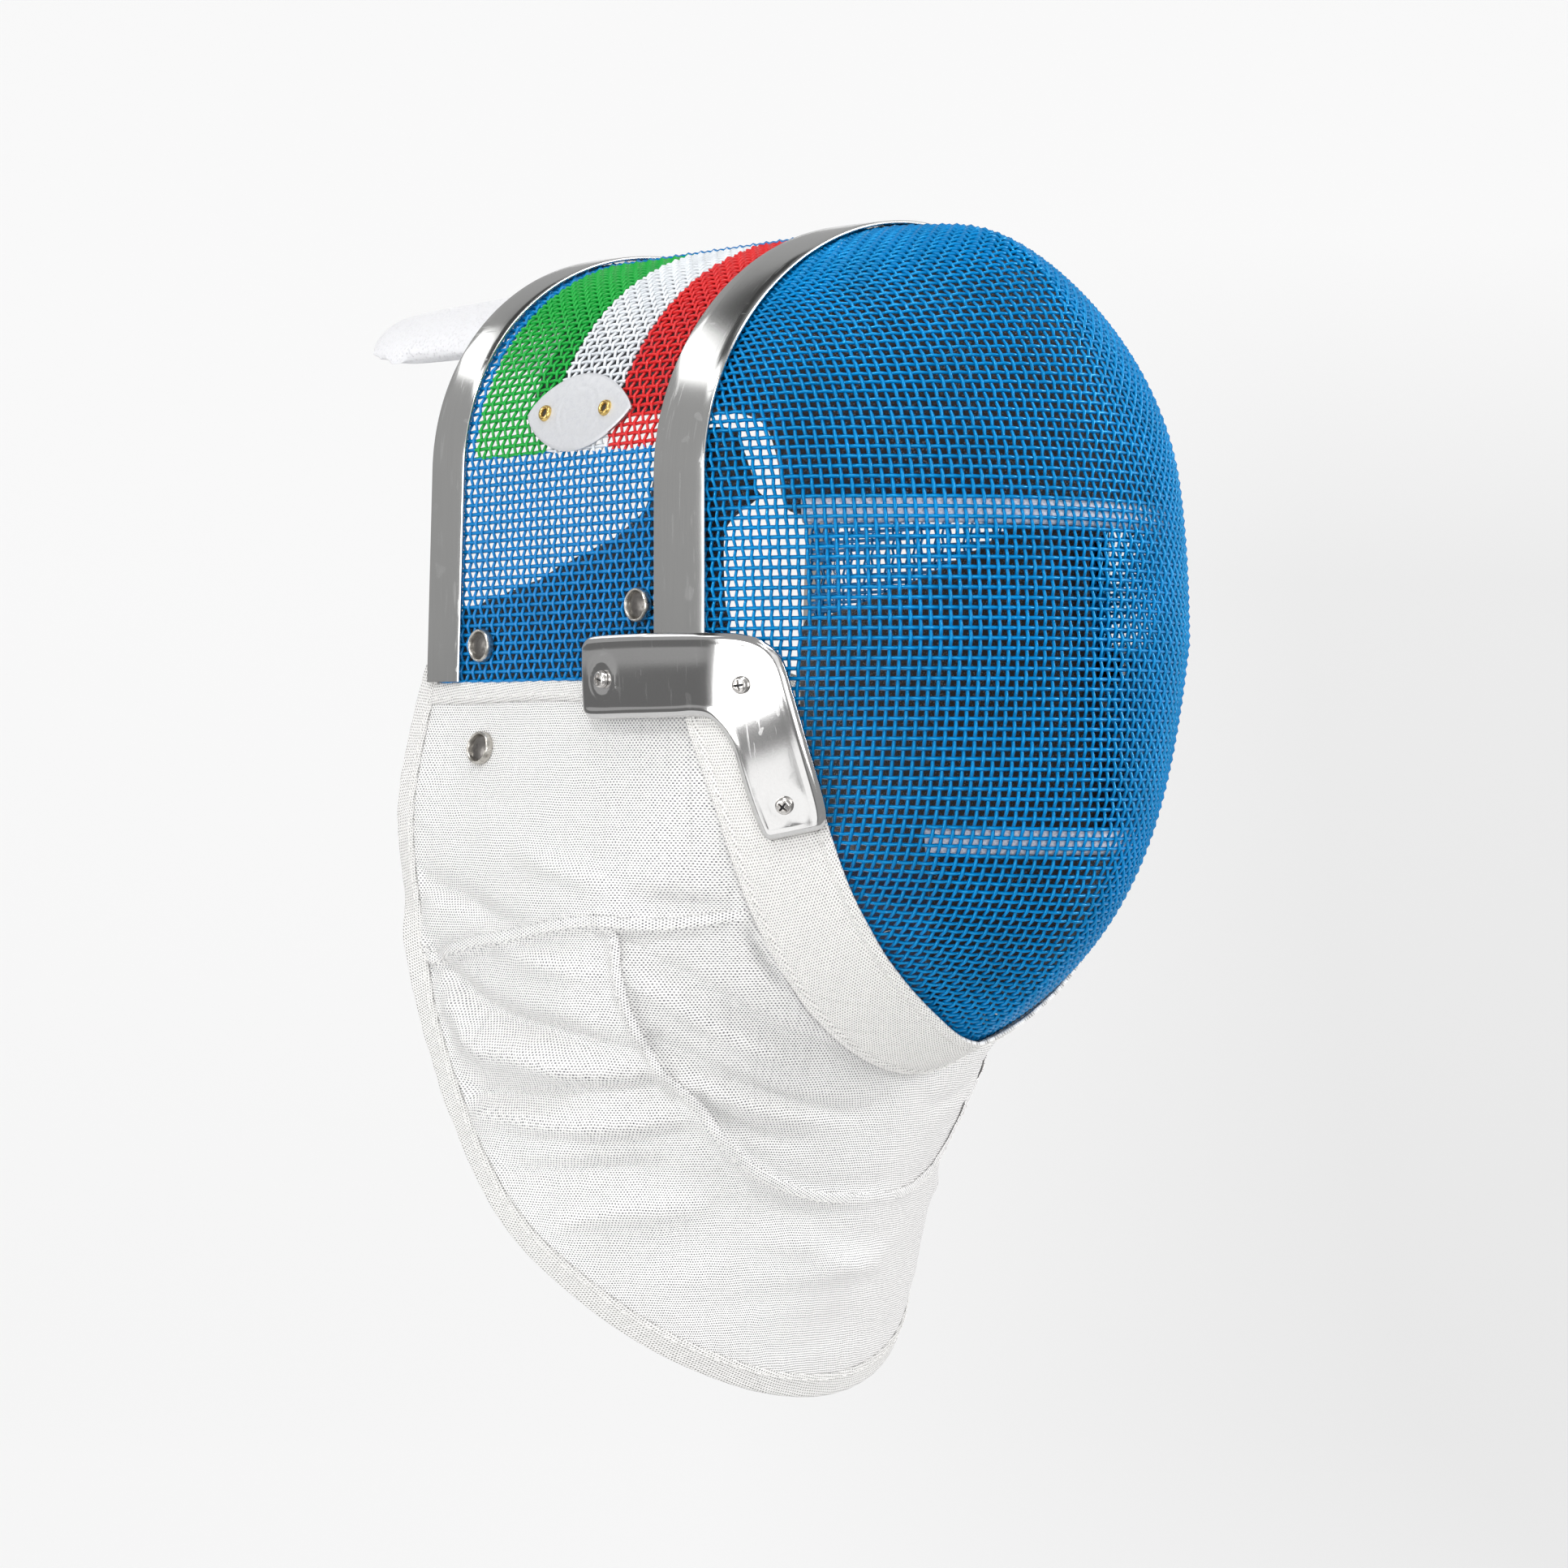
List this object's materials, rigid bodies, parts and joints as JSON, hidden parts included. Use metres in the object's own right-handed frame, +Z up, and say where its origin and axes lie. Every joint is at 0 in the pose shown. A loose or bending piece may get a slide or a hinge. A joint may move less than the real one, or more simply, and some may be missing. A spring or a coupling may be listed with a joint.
{
  "type": "sabre fencing mask",
  "caption": "Fencing mask: woven wire face and crown, steel bands and side plates, cloth bib, inner padding and padded rear tongue.",
  "frame": {"origin": "the crown seat: the place under the padding where the top of the wearer's head touches", "axes": "+Z up, -Y the way the face looks, +X the wearer's left"},
  "size_m": [0.2043, 0.3332, 0.3832],
  "materials": {
    "blue_wire": "glossy blue lacquer on woven steel wire",
    "striped_wire": "blue lacquer with painted green, white and red bands",
    "band_steel": "fine brushed, slightly scratched",
    "plate_steel": "polished stainless steel",
    "cap_steel": "nickel-plated",
    "silver_cloth": "silvery conductive lame weave",
    "canvas": "grey-white canvas tape",
    "charcoal_pad": "dark brushed padding",
    "white_pad": "white padded cloth",
    "label_alloy": "matt, shallow pressed, blank",
    "brass": "turned eyelets"
  },
  "bodies": {
    "root": {"bib": "silver_cloth", "bib_binding": "canvas", "bib_trim": "canvas", "cheek_pad_left": "charcoal_pad", "cheek_pad_right": "charcoal_pad", "chin_pad": "charcoal_pad", "crown_mesh": "striped_wire", "forehead_pad": "charcoal_pad", "front_band": "band_steel", "front_mesh": "blue_wire", "label_eyelet_front": "brass", "label_eyelet_rear": "brass", "label_plate": "label_alloy", "plate_screw_elbow_left": "cap_steel", "plate_screw_elbow_right": "cap_steel", "plate_screw_lower_left": "cap_steel", "plate_screw_lower_right": "cap_steel", "plate_screw_rear_left": "cap_steel", "plate_screw_rear_right": "cap_steel", "rear_band": "band_steel", "rear_tongue": "white_pad", "side_plate_left": "plate_steel", "side_plate_right": "plate_steel", "snap_cap_bib_left": "cap_steel", "snap_cap_bib_right": "cap_steel", "snap_cap_front_left": "cap_steel", "snap_cap_front_right": "cap_steel", "snap_cap_rear_left": "cap_steel", "snap_cap_rear_right": "cap_steel"}
  },
  "joints": []
}
